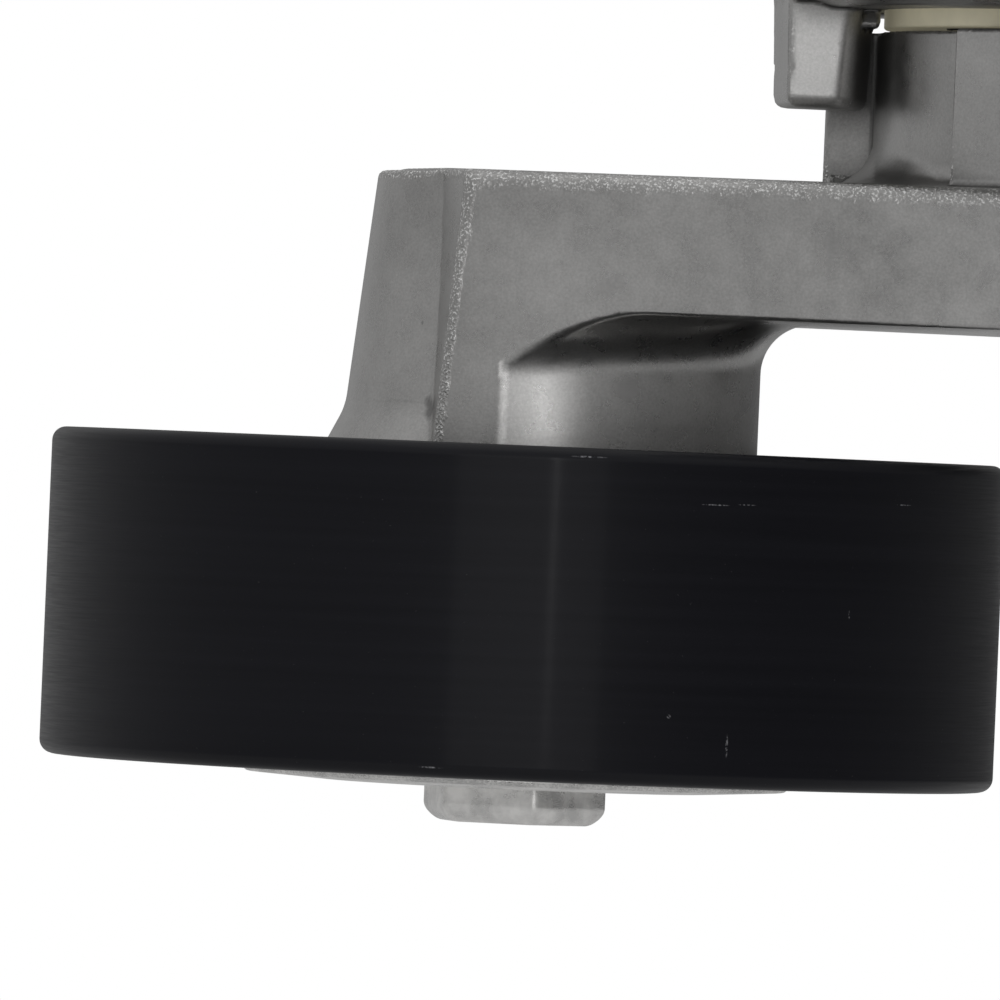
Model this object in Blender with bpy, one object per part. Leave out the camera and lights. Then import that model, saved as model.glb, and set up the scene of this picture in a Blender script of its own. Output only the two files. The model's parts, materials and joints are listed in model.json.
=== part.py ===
"""Belt tensioner idler: a smooth pulley on a sprung arm that pivots in a cast base.

The origin is on the pivot axis, at the face that bolts to the engine. +Z points into the engine,
the arm and pulley are below, and the pulley axis is at -X. Lengths are in millimetres, angles in
degrees, and MM turns a length into Blender's metres. Names that end in _Z are heights. Those of the
pulley, its bearing, shields and bolt, and of the arm's post, beam and tapered end are measured from
the pulley's middle plane, and all others from the mounting face. A pair of heights is low, high.
"""

import math

import bmesh
import bpy

MM = 0.001
GAP = 0.3  # between neighbouring pieces
PAST = 1.0  # how far a cutter, or a piece that is joined on, runs past the surface that it crosses
CHAMFER = 0.8  # on outer corners of castings and pins

# The two axes
PIVOT_TO_PULLEY = 55.0
MOUNT_TO_PULLEY_Z = -75.0

# Pulley
PULLEY_RADIUS = 38.0
PULLEY_HALF_WIDTH = 13.0
PULLEY_CORNER = 1.1
PULLEY_RIM = 3.0
PULLEY_WEB_Z = (-9.5, -6.5)
PULLEY_SEAT_RADIUS = 23.2
PULLEY_SEAT_Z = (-11.3, 6.0)

# Ball bearing, 17 x 40 x 16
BEARING_BORE = 8.5
BEARING_RADIUS = 20.0
BEARING_Z = (-11.0, 5.0)
BEARING_MIDDLE_Z = sum(BEARING_Z) / 2
BALL_COUNT = 8
BALL_RADIUS = 3.3735
BALL_PITCH_RADIUS = 14.25
INNER_SHOULDER = 12.1
OUTER_SHOULDER = 16.4
SEAL_RADII = (12.5, 17.7)
SEAL_THICKNESS = 1.0
SEAL_RECESS = 1.6
CAGE_RADII = (13.4, 15.1)
CAGE_HALF_WIDTH = 4.4
CAGE_WINDOW_DEPTH = 8.0

# Dust shield under the bolt head, and the small one above the bearing
SHIELD_RADIUS = 21.7
SHIELD_THICKNESS = 1.0
SHIELD_BOTTOM_Z = -14.1
SHIELD_SEAT_Z = -12.3
SHIELD_DISH_RADII = (12.5, 14.5)
SHIELD_DISH_INSET = 0.2  # the dish is this much narrower on its lower side
INNER_SHIELD_RADIUS = 22.5
INNER_SHIELD_Z = (7.7, 8.7)

# Pulley bolt, M8
BOLT_RADIUS = 3.9
BOLT_HEAD_ACROSS_FLATS = 13.0
BOLT_HEAD_Z = (-17.3, -12.6)
BOLT_TIP_Z = 10.0
BOLT_TURN = -77.0  # direction of one corner of the head
BOLT_CHAMFER = 1.2
BOLT_CHAMFER_INSETS = (0.5, 1.5)  # halfway up the chamfer and at the bottom
BOLT_CHAMFER_MARGIN = (0.1, 0.001)  # past the head's corners and its underside

# Arm: post, tapered end and beam
POST_RADIUS = 18.15
POST_BOTTOM_Z = 9.6
POST_FILLET = 4.0
POST_FILLET_LIFT = 0.03  # keeps the fillet's upper end off the beam's underside
POST_EDGE_X = -2.6  # the beam's front wall runs down unbroken left of this
BEAM_Z = (23.55, 34.6)

# Arm: the tapered end's outline as (radius, height), and where the beam is cut off to its right:
# the X of the cut at the arm's sides and at its middle, at the beam's bottom and at its top
END_TOP = (12.9, 34.45)
END_WAIST = (14.8, 15.6)
END_FLARE = (15.9, 13.0)
END_SKIRT = (17.8, 9.9)
END_BOTTOM_Z = 9.0
END_CUT_BOTTOM_X = (-7.9, -8.0)
END_CUT_TOP_X = (-1.2, -11.4)
END_CUT_REACH = (40.0, 30.0)  # of the cutter, to the left and to each side
SHOULDER_RADIUS = 12.0
SPIGOT_RADIUS = 8.2
SPIGOT_BOTTOM_Z = -10.5
BOLT_HOLE_RADIUS = 4.3
BOLT_HOLE_TOP_Z = 12.0

# Arm: hub around the pivot
HUB_RADIUS = 32.6
HUB_BOTTOM_INSET = 0.15  # the hub's foot ends this far above the beam's underside, and as far inside
HUB_TOP_Z = -27.95
HUB_FLOOR_Z = -48.2
HUB_CAVITY_RADIUS = 26.0
HUB_TUBE_RADIUS = 14.0
HUB_TUBE_TOP_Z = -29.2
HUB_BORE_RADIUS = 10.7
HUB_BOSS_RADIUS = 16.0
HUB_BOSS_BOTTOM_Z = -56.0
HUB_COUNTERBORE = (12.6, -48.8)  # radius and top
STOP_RECESS_RADIUS = 28.7
STOP_RECESS_START = 180.0
STOP_RECESS_SWEEP = 45.0
STOP_RECESS_FILLET = 4.5
STOP_RECESS_LIFT = 0.05  # keeps the recess's floor off the beam's top

# Base
BASE_RADIUS = 34.0
BASE_CAVITY_RADIUS = 28.5
BASE_PLATE_THICKNESS = 8.0
BASE_TOP_CHAMFER = 1.0
FLANGE_ROOT = 1.5  # size of the slope between the base's wall and the flange
FLANGE_RADIUS = 37.2
FLANGE_Z = (-25.8, -21.2)
BASE_BOSS_RADIUS = 13.0
SHAFT_SOCKET_TOP_Z = -4.0
EAR_ANGLES = (0.0, 120.0, 240.0)
EAR_DISTANCE = 46.0
EAR_RADIUS = 9.5
EAR_ROOT_RADIUS = 20.0
EAR_THICKNESS = 12.0
EAR_HOLE_RADIUS = 4.25
PIN_ANGLE = 90.0
PIN_DISTANCE = 20.0
PIN_RADIUS = 3.0
PIN_Z = (-5.5, 6.0)

# Stop lug on the base's flange, seen from above: its back bears on the end of the hub's recess.
# Its sections are at the heights LUG_Z, each shrunk by its inset.
LUG_BACK_Y = -GAP
LUG_FRONT_Y = -9.0
LUG_OUTER_X = (-37.1, -36.0)
LUG_INNER_X = -29.1
LUG_CORNER = 3.1
LUG_Z = (-34.3, -33.8, -24.8)
LUG_INSETS = (0.9, 0.3, 0.0)

# Pivot stack. The washers, the retainer and the cap are given as (radius, low, high)
SHAFT_RADIUS = 8.0
SHAFT_SHOULDER_Z = -50.7
SHAFT_NECK_RADIUS = 6.0
SHAFT_HEAD = (7.6, -53.4)  # radius and top
SHAFT_HEAD_TAPER = 1.0
SHAFT_BOTTOM_Z = -54.4
BUSHING_RADIUS = 10.4
BUSHING_Z = (-48.5, -29.5)
UPPER_WASHER = (12.8, -28.9, -26.5)
LOWER_WASHER = (12.2, -50.6, -49.1)
RETAINER = (12.2, -53.1, -51.0)
CAP = (12.3, -55.8, -54.8)
CAP_CHAMFER = 0.4

# Damping ring and torsion spring
RING_RADII = (25.3, 28.2)
RING_Z = (-27.6, -14.0)
RING_SPLIT = 6.0
SPRING_RADIUS = 21.0
SPRING_WIRE_RADIUS = 2.4
SPRING_TURNS = 5.5
SPRING_Z = (-44.5, -11.5)
SPRING_STOP_RADII = (18.0, 24.5)
SPRING_STOP_SWEEP = 14.0
SPRING_STOP_CLEARANCE = 2.0
SPRING_STOP_HEIGHT = 6.0
SPRING_STOP_ROOT = 0.5  # how deep a stop is set in its casting

# Facets in a full turn, and where each turned shape that meets another starts, so that no two
# of their edges lie along each other
POST_FACETS = 80
STOP_FACETS = 72
FINE = 56
END_FACETS = 48
MEDIUM = 40
CHAMFER_FACETS = 36
BEARING_FACETS = 32
COARSE = 28
EAR_HOLE_FACETS = 24
SMALL = 20
SPRING_FACETS = 16
WINDOW_FACETS = 10
BALL_FACETS = (8, 6)  # round the ball and from pole to pole
WIRE_FACETS = 6
HUB_START = 1.9
BOSS_START = 1.3
CAVITY_START = 0.8
END_START = 2.6
BASE_START = 1.1


# ---------------------------------------------------------------- shapes

def arc(centre, radius, start, end, steps):
    """Points along an arc, both ends included."""
    angles = [math.radians(start + (end - start) * i / steps) for i in range(steps + 1)]
    return [(centre[0] + radius * math.cos(a), centre[1] + radius * math.sin(a)) for a in angles]


def band(inner, outer, low, high):
    """Outline of a plain ring, as (radius, height)."""
    return [(inner, high), (outer, high), (outer, low), (inner, low)]


def tapered_outline(near, near_radius, far, far_radius, steps):
    """Two circles centred on X, near the smaller X, joined by their common tangents."""
    lean = 90 + math.degrees(math.asin((far_radius - near_radius) / (far - near)))
    return (arc((near, 0), near_radius, lean, 360 - lean, steps)
            + arc((far, 0), far_radius, -lean, lean, steps))


def inset(outline, distance):
    """The outline shrunk about its middle, by this much at its mean radius."""
    count = len(outline)
    middle = [sum(point[i] for point in outline) / count for i in (0, 1)]
    mean = sum(math.dist(point, middle) for point in outline) / count
    factor = 1 - distance / mean
    return [tuple(middle[i] + factor * (point[i] - middle[i]) for i in (0, 1)) for point in outline]


def finish(name, mesh, parent):
    """Makes an object of a bmesh, its faces pointing out and its round stretches smooth."""
    bmesh.ops.recalc_face_normals(mesh, faces=mesh.faces)
    data = bpy.data.meshes.new(name)
    mesh.to_mesh(data)
    mesh.free()
    data.shade_smooth()
    data.set_sharp_from_angle(angle=math.radians(30))
    piece = bpy.data.objects.new(name, data)
    bpy.context.scene.collection.objects.link(piece)
    piece.parent = parent
    return piece


def turned(name, profile, parent, steps=MEDIUM, start=0.0, sweep=360.0):
    """Spins an outline of (radius, height) points about Z. An outline that starts and ends on the
    axis stays open there, and a part turn has flat ends."""
    mesh = bmesh.new()
    lead = math.radians(start)
    points = [
        mesh.verts.new((r * math.cos(lead) * MM, r * math.sin(lead) * MM, z * MM))
        for r, z in profile
    ]
    ends = list(zip(points, points[1:] + points[:1]))
    if profile[0][0] == profile[-1][0] == 0:
        ends.pop()
    edges = [mesh.edges.new(pair) for pair in ends]
    bmesh.ops.spin(
        mesh, geom=points + edges, axis=(0, 0, 1), cent=(0, 0, 0), angle=math.radians(sweep),
        steps=max(2, round(steps * sweep / 360)),
    )
    bmesh.ops.remove_doubles(mesh, verts=mesh.verts, dist=1e-6)
    if sweep < 360:
        bmesh.ops.holes_fill(mesh, edges=[edge for edge in mesh.edges if edge.is_boundary])
    return finish(name, mesh, parent)


def lofted(name, sections, parent):
    """Joins outlines that have the same number of points, each given with its height."""
    mesh = bmesh.new()
    loops = [[mesh.verts.new((x * MM, y * MM, z * MM)) for x, y in outline] for outline, z in sections]
    for low, high in zip(loops, loops[1:]):
        for i in range(len(low)):
            mesh.faces.new((low[i - 1], low[i], high[i], high[i - 1]))
    mesh.faces.new(loops[0])
    mesh.faces.new(loops[-1])
    return finish(name, mesh, parent)


def combine(piece, operation, *tools):
    """Adds or cuts each tool, a hidden helper, with a Boolean that stays on the piece."""
    for tool in tools:
        modifier = piece.modifiers.new(tool.name, "BOOLEAN")
        modifier.operation = operation
        modifier.object = tool
        tool.hide_render = True
        tool.display_type = "WIRE"
    return piece


def axis_empty(name, parent, x=0.0, z=0.0):
    empty = bpy.data.objects.new(name, None)
    bpy.context.scene.collection.objects.link(empty)
    empty.parent = parent
    empty.location = (x * MM, 0, z * MM)
    return empty


def at_polar(piece, distance, angle):
    """Moves a piece off its parent's axis and turns it to face outwards."""
    lead = math.radians(angle)
    piece.location = (distance * math.cos(lead) * MM, distance * math.sin(lead) * MM, 0)
    piece.rotation_euler = (0, 0, lead)
    return piece


# ---------------------------------------------------------------- materials

def material(name, colour, roughness, metallic):
    made = bpy.data.materials.new(name)
    made.use_nodes = True
    shader = made.node_tree.nodes["Principled BSDF"]
    shader.inputs["Base Color"].default_value = (*colour, 1)
    shader.inputs["Roughness"].default_value = roughness
    shader.inputs["Metallic"].default_value = metallic
    return made


def paint(pieces, made):
    for piece in pieces:
        piece.data.materials.clear()
        piece.data.materials.append(made)


# ---------------------------------------------------------------- base

def lug_outline():
    corner = arc(
        (LUG_INNER_X - LUG_CORNER, LUG_FRONT_Y + LUG_CORNER), LUG_CORNER, -90, 0, steps=4)
    return [(LUG_OUTER_X[0], LUG_BACK_Y), (LUG_OUTER_X[1], LUG_FRONT_Y), *corner,
            (LUG_INNER_X, LUG_BACK_Y)]


def stop_lug(parent):
    """Hangs from the flange with a little draft, and a chamfer round its lower end. Its back stays
    flat, where it meets the arm."""
    sections = []
    for z, shrink in zip(LUG_Z, LUG_INSETS):
        outline = inset(lug_outline(), shrink)
        outline[0] = (outline[0][0], LUG_BACK_Y)
        outline[-1] = (outline[-1][0], LUG_BACK_Y)
        sections.append((outline, z))
    return lofted("lug", sections, parent)


def ear(number, angle, parent):
    outline = tapered_outline(0, EAR_ROOT_RADIUS, EAR_DISTANCE, EAR_RADIUS, steps=12)
    piece = lofted(f"ear_{number}", [(outline, -EAR_THICKNESS), (outline, 0)], parent)
    return at_polar(piece, 0, angle)


def ear_hole(number, angle, parent):
    low = -EAR_THICKNESS - PAST
    tool = turned(f"ear_hole_{number}", [
        (0, PAST), (EAR_HOLE_RADIUS, PAST), (EAR_HOLE_RADIUS, low), (0, low)],
        parent, EAR_HOLE_FACETS)
    return at_polar(tool, EAR_DISTANCE, angle)


def spring_stop(name, parent, start, low):
    """The cast block that an end of the spring's wire bears on."""
    outline = band(*SPRING_STOP_RADII, low, low + SPRING_STOP_HEIGHT)
    return turned(name, outline, parent, STOP_FACETS, start, SPRING_STOP_SWEEP)


def base_housing(parent):
    low, high = FLANGE_Z
    body = turned("base_housing", [
        (0, 0), (BASE_RADIUS - BASE_TOP_CHAMFER, 0), (BASE_RADIUS, -BASE_TOP_CHAMFER),
        (BASE_RADIUS, high + FLANGE_ROOT), (BASE_RADIUS + FLANGE_ROOT, high),
        (FLANGE_RADIUS - CHAMFER, high), (FLANGE_RADIUS, high - CHAMFER), (FLANGE_RADIUS, low),
        (0, low)], parent, FINE, BASE_START)
    combine(body, "UNION", stop_lug(parent),
            *[ear(i + 1, angle, parent) for i, angle in enumerate(EAR_ANGLES)])
    cavity = turned("base_cavity", band(
        BASE_BOSS_RADIUS, BASE_CAVITY_RADIUS, low - PAST, -BASE_PLATE_THICKNESS), parent, FINE)
    socket = turned("shaft_socket", [
        (0, SHAFT_SOCKET_TOP_Z), (SHAFT_RADIUS + GAP, SHAFT_SOCKET_TOP_Z),
        (SHAFT_RADIUS + GAP, low - PAST), (0, low - PAST)], parent, COARSE)
    radius, bottom = PIN_RADIUS + GAP, PIN_Z[0] - GAP
    pin_hole = turned("pin_hole", [(0, PAST), (radius, PAST), (radius, bottom), (0, bottom)],
                      parent, SMALL)
    combine(body, "DIFFERENCE", cavity, socket, at_polar(pin_hole, PIN_DISTANCE, PIN_ANGLE),
            *[ear_hole(i + 1, angle, parent) for i, angle in enumerate(EAR_ANGLES)])
    top = -BASE_PLATE_THICKNESS + SPRING_STOP_ROOT
    stop = spring_stop("base_spring_stop", parent,
                       -SPRING_STOP_CLEARANCE - SPRING_STOP_SWEEP, top - SPRING_STOP_HEIGHT)
    return combine(body, "UNION", stop)


def locating_pin(parent):
    low, high = PIN_Z
    pin = turned("locating_pin", [
        (0, high), (PIN_RADIUS - CHAMFER, high), (PIN_RADIUS, high - CHAMFER), (PIN_RADIUS, low),
        (0, low)], parent, SMALL)
    return at_polar(pin, PIN_DISTANCE, PIN_ANGLE)


def pivot_shaft(parent):
    head_radius, head_top = SHAFT_HEAD
    top = SHAFT_SOCKET_TOP_Z - GAP
    return turned("pivot_shaft", [
        (0, top), (SHAFT_RADIUS, top), (SHAFT_RADIUS, SHAFT_SHOULDER_Z),
        (SHAFT_NECK_RADIUS, SHAFT_SHOULDER_Z), (SHAFT_NECK_RADIUS, head_top),
        (head_radius, head_top), (head_radius - SHAFT_HEAD_TAPER, SHAFT_BOTTOM_Z),
        (0, SHAFT_BOTTOM_Z)], parent, COARSE)


def torsion_spring(parent):
    """Round wire on a helix, both ends cut square."""
    low, high = SPRING_Z
    steps = round(SPRING_TURNS * SPRING_FACETS)
    climb = (high - low) / (SPRING_TURNS * 2 * math.pi * SPRING_RADIUS)
    lean = math.atan(climb)
    mesh = bmesh.new()
    rings = []
    for i in range(steps + 1):
        turn = 2 * math.pi * SPRING_TURNS * i / steps
        z = high + (low - high) * i / steps
        ring = []
        for side in range(WIRE_FACETS):
            around_wire = 2 * math.pi * side / WIRE_FACETS
            out = SPRING_WIRE_RADIUS * math.cos(around_wire)
            up = SPRING_WIRE_RADIUS * math.sin(around_wire)
            radius = SPRING_RADIUS + out
            along = up * math.sin(lean)
            ring.append(mesh.verts.new((
                (radius * math.cos(turn) - along * math.sin(turn)) * MM,
                (radius * math.sin(turn) + along * math.cos(turn)) * MM,
                (z + up * math.cos(lean)) * MM,
            )))
        rings.append(ring)
    for first, second in zip(rings, rings[1:]):
        for i in range(WIRE_FACETS):
            mesh.faces.new((first[i - 1], first[i], second[i], second[i - 1]))
    mesh.faces.new(rings[0])
    mesh.faces.new(rings[-1])
    return finish("torsion_spring", mesh, parent)


# ---------------------------------------------------------------- arm

def beam_and_post(arm_pivot, pulley_axis):
    """The tapered beam as a deep block, cut away below to leave the round post, and cut off
    slantwise at its left where the tapered end begins."""
    low = MOUNT_TO_PULLEY_Z + POST_BOTTOM_Z
    underside, top = [MOUNT_TO_PULLEY_Z + z for z in BEAM_Z]
    outline = tapered_outline(-PIVOT_TO_PULLEY, POST_RADIUS, 0, HUB_RADIUS - HUB_BOTTOM_INSET,
                               steps=20)
    body = lofted("arm_casting", [(outline, low), (outline, top)], arm_pivot)

    left, reach = POST_EDGE_X - PIVOT_TO_PULLEY, HUB_RADIUS + 5 * PAST
    block = [(left, -reach), (reach, -reach), (reach, reach), (left, reach)]
    below = lofted("below_beam", [(block, low - PAST), (block, underside)], arm_pivot)
    flare = BEAM_Z[0] - POST_FILLET + POST_FILLET_LIFT
    fillet = arc((POST_RADIUS + POST_FILLET, flare), POST_FILLET, 180, 90, steps=5)
    post_top, post_bottom = BEAM_Z[0] + PAST, POST_BOTTOM_Z - 2 * PAST
    post = turned("post", [(0, post_top), (fillet[-1][0], post_top), *fillet[::-1],
                  (POST_RADIUS, post_bottom), (0, post_bottom)], pulley_axis, POST_FACETS)
    combine(body, "DIFFERENCE", combine(below, "DIFFERENCE", post), end_cutter(pulley_axis))
    return body


def end_cutter(pulley_axis):
    """Everything left of two slanted faces, which meet at the middle of the post and lean in
    towards their lower end, where they are nearly square to the view along Y."""
    far, side = END_CUT_REACH
    sections = []
    for (outer_x, middle_x), z in ((END_CUT_BOTTOM_X, POST_BOTTOM_Z - 2 * PAST),
                                   (END_CUT_TOP_X, BEAM_Z[1] + 2 * PAST)):
        outline = [(-far, -side), (outer_x, -side), (middle_x, 0), (outer_x, side), (-far, side)]
        sections.append((outline, z))
    return lofted("end_cutter", sections, pulley_axis)


def tapered_end(pulley_axis):
    """The coned end of the arm, its skirt over the bearing, and the spigot in the bearing."""
    profile = [(0, END_TOP[1]), END_TOP, END_WAIST, END_FLARE, END_SKIRT,
               (END_SKIRT[0], END_BOTTOM_Z), (SHOULDER_RADIUS, END_BOTTOM_Z),
               (SHOULDER_RADIUS, BEARING_Z[1] + GAP), (SPIGOT_RADIUS, BEARING_Z[1] + GAP),
               (SPIGOT_RADIUS, SPIGOT_BOTTOM_Z), (0, SPIGOT_BOTTOM_Z)]
    return turned("tapered_end", profile, pulley_axis, END_FACETS, END_START)


def hub(arm_pivot):
    """The round hub with the recess that the stop lug moves in."""
    beam_bottom, beam_top = [MOUNT_TO_PULLEY_Z + z for z in BEAM_Z]
    low = beam_bottom + HUB_BOTTOM_INSET
    body = turned("hub", [(0, HUB_TOP_Z), (HUB_RADIUS, HUB_TOP_Z), (HUB_RADIUS, low), (0, low)],
                  arm_pivot, FINE, HUB_START)
    bottom, top, outer = beam_top + STOP_RECESS_LIFT, HUB_TOP_Z + PAST, HUB_RADIUS + 2 * PAST
    fillet = arc((STOP_RECESS_RADIUS + STOP_RECESS_FILLET, bottom + STOP_RECESS_FILLET),
                 STOP_RECESS_FILLET, 180, 270, steps=4)
    recess = turned("stop_recess", [
        (STOP_RECESS_RADIUS, top), *fillet, (outer, bottom), (outer, top)],
        arm_pivot, FINE, STOP_RECESS_START, STOP_RECESS_SWEEP)
    return combine(body, "DIFFERENCE", recess)


def hub_boss(arm_pivot):
    """The short boss under the hub that holds the pivot's retainer."""
    return turned("hub_boss", [
        (0, HUB_FLOOR_Z - PAST), (HUB_BOSS_RADIUS, HUB_FLOOR_Z - PAST),
        (HUB_BOSS_RADIUS, HUB_BOSS_BOTTOM_Z + CHAMFER),
        (HUB_BOSS_RADIUS - CHAMFER, HUB_BOSS_BOTTOM_Z),
        (0, HUB_BOSS_BOTTOM_Z)], arm_pivot, MEDIUM, BOSS_START)


def arm_casting(arm_pivot, pulley_axis):
    body = beam_and_post(arm_pivot, pulley_axis)
    combine(body, "UNION", tapered_end(pulley_axis), hub(arm_pivot), hub_boss(arm_pivot))
    above, below = HUB_TOP_Z + 2 * PAST, HUB_BOSS_BOTTOM_Z - PAST
    cavity = turned("hub_cavity", band(HUB_TUBE_RADIUS, HUB_CAVITY_RADIUS, HUB_FLOOR_Z, above),
                    arm_pivot, FINE, CAVITY_START)
    bore = turned("hub_bore", [
        (0, above), (HUB_TUBE_RADIUS + PAST, above), (HUB_TUBE_RADIUS + PAST, HUB_TUBE_TOP_Z),
        (HUB_BORE_RADIUS, HUB_TUBE_TOP_Z), (HUB_BORE_RADIUS, HUB_COUNTERBORE[1]), HUB_COUNTERBORE,
        (HUB_COUNTERBORE[0], below), (0, below)], arm_pivot)
    bolt_hole = turned("bolt_hole", [
        (0, BOLT_HOLE_TOP_Z), (BOLT_HOLE_RADIUS, BOLT_HOLE_TOP_Z),
        (BOLT_HOLE_RADIUS, SPIGOT_BOTTOM_Z - PAST), (0, SPIGOT_BOTTOM_Z - PAST)],
        pulley_axis, SMALL)
    combine(body, "DIFFERENCE", cavity, bore, bolt_hole)
    spring_end = 360 * SPRING_TURNS % 360
    stop = spring_stop("arm_spring_stop", arm_pivot, spring_end + SPRING_STOP_CLEARANCE,
                       HUB_FLOOR_Z - SPRING_STOP_ROOT)
    return combine(body, "UNION", stop)


def damping_ring(parent):
    """A split ring, so that the spring can press it outwards against the base."""
    return turned("damping_ring", band(*RING_RADII, *RING_Z), parent, FINE,
                  RING_SPLIT / 2, 360 - RING_SPLIT)


def dust_shield(parent):
    """A pressed plate: its middle is dished up to the bearing, and its rim is rolled."""
    rim = SHIELD_THICKNESS / 2
    bottom, seat = SHIELD_BOTTOM_Z, SHIELD_SEAT_Z
    inner, outer = SHIELD_DISH_RADII
    top = bottom + SHIELD_THICKNESS
    seat_top = seat + SHIELD_THICKNESS
    hole = BOLT_HOLE_RADIUS
    roll = arc((SHIELD_RADIUS - rim, bottom + rim), rim, 90, -90, steps=4)
    return turned("dust_shield", [
        (hole, seat_top), (inner, seat_top), (outer, top), *roll,
        (outer - SHIELD_DISH_INSET, bottom), (inner - SHIELD_DISH_INSET, seat), (hole, seat)],
        parent)


def hexagon(across_flats, turn):
    radius = across_flats / math.sqrt(3)
    return arc((0, 0), radius, turn, turn + 300, steps=5)


def pulley_bolt(parent):
    """A hexagon with its lower corners turned off, and a plain shank."""
    low, high = BOLT_HEAD_Z
    outline = hexagon(BOLT_HEAD_ACROSS_FLATS, BOLT_TURN)
    head = lofted("pulley_bolt", [(outline, low), (outline, high)], parent)
    corner = BOLT_HEAD_ACROSS_FLATS / math.sqrt(3) + BOLT_CHAMFER_MARGIN[0]
    bottom = low - BOLT_CHAMFER_MARGIN[1]
    halfway, end = BOLT_CHAMFER_INSETS
    chamfer = turned("bolt_chamfer", [
        (0, high + PAST), (corner, high + PAST), (corner, low + BOLT_CHAMFER),
        (corner - halfway, low + 0.5 * BOLT_CHAMFER), (corner - end, bottom), (0, bottom)],
        parent, CHAMFER_FACETS)
    shank = turned("bolt_shank", [
        (0, BOLT_TIP_Z), (BOLT_RADIUS - CHAMFER, BOLT_TIP_Z), (BOLT_RADIUS, BOLT_TIP_Z - CHAMFER),
        (BOLT_RADIUS, high - PAST), (0, high - PAST)], parent, SMALL)
    return combine(combine(head, "INTERSECT", chamfer), "UNION", shank)


# ---------------------------------------------------------------- pulley and bearing

def pulley_shell(parent):
    """The rim, the web and the seat that the bearing is pressed into."""
    half, corner, radius = PULLEY_HALF_WIDTH, PULLEY_CORNER, PULLEY_RADIUS
    inside = radius - PULLEY_RIM
    web_low, web_high = PULLEY_WEB_Z
    seat_low, seat_high = PULLEY_SEAT_Z
    seat = BEARING_RADIUS + GAP
    return turned("pulley_shell", [
        *arc((radius - corner, half - corner), corner, 90, 0, steps=3),
        *arc((radius - corner, corner - half), corner, 0, -90, steps=3),
        (inside, -half), (inside, web_low), (PULLEY_SEAT_RADIUS, web_low),
        (PULLEY_SEAT_RADIUS, seat_low), (seat, seat_low), (seat, seat_high),
        (PULLEY_SEAT_RADIUS, seat_high), (PULLEY_SEAT_RADIUS, web_high), (inside, web_high),
        (inside, half)], parent, FINE)


def ball_groove(shoulder, start, end):
    """The arc of a ball groove between its two shoulders, as (radius, height)."""
    radius = BALL_RADIUS + GAP
    reach = math.degrees(math.acos(abs(shoulder - BALL_PITCH_RADIUS) / radius))
    middle = (start + end) / 2
    sign = 1 if end > start else -1
    return arc((BALL_PITCH_RADIUS, BEARING_MIDDLE_Z), radius,
               middle - sign * reach, middle + sign * reach, steps=6)


def bearing_inner_ring(parent):
    low, high = BEARING_Z
    return turned("bearing_inner_ring", [
        (BEARING_BORE, high), (INNER_SHOULDER, high), *ball_groove(INNER_SHOULDER, 90, 270),
        (INNER_SHOULDER, low), (BEARING_BORE, low)], parent, BEARING_FACETS)


def bearing_outer_ring(parent):
    low, high = BEARING_Z
    seal_radius = SEAL_RADII[1] + GAP
    return turned("bearing_outer_ring", [
        (seal_radius, high), (BEARING_RADIUS, high), (BEARING_RADIUS, low), (seal_radius, low),
        (seal_radius, low + SEAL_RECESS), (OUTER_SHOULDER, low + SEAL_RECESS),
        *ball_groove(OUTER_SHOULDER, -90, 90), (OUTER_SHOULDER, high - SEAL_RECESS),
        (seal_radius, high - SEAL_RECESS)], parent, BEARING_FACETS)


def bearing_seal(name, low, parent):
    return turned(name, band(*SEAL_RADII, low, low + SEAL_THICKNESS), parent, BEARING_FACETS)


def bearing_ball(number, parent):
    segments, rings = BALL_FACETS
    mesh = bmesh.new()
    bmesh.ops.create_uvsphere(mesh, u_segments=segments, v_segments=rings, radius=BALL_RADIUS * MM)
    ball = finish(f"bearing_ball_{number}", mesh, parent)
    at_polar(ball, BALL_PITCH_RADIUS, 360 * (number - 1) / BALL_COUNT)
    ball.location.z = BEARING_MIDDLE_Z * MM
    return ball


def ball_cage(parent):
    """A ring with one round window for each ball."""
    middle = BEARING_MIDDLE_Z
    radius = (BALL_RADIUS + GAP) * MM
    cage = turned("ball_cage", band(*CAGE_RADII, middle - CAGE_HALF_WIDTH,
                  middle + CAGE_HALF_WIDTH), parent)
    for number in range(BALL_COUNT):
        mesh = bmesh.new()
        bmesh.ops.create_cone(
            mesh, cap_ends=True, segments=WINDOW_FACETS, radius1=radius, radius2=radius,
            depth=CAGE_WINDOW_DEPTH * MM)
        window = finish(f"cage_window_{number + 1}", mesh, parent)
        lead = 360 * number / BALL_COUNT
        at_polar(window, BALL_PITCH_RADIUS, lead)
        window.location.z = middle * MM
        window.rotation_euler = (0, math.radians(90), math.radians(lead))
        combine(cage, "DIFFERENCE", window)
    return cage


# ---------------------------------------------------------------- the whole object

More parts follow.
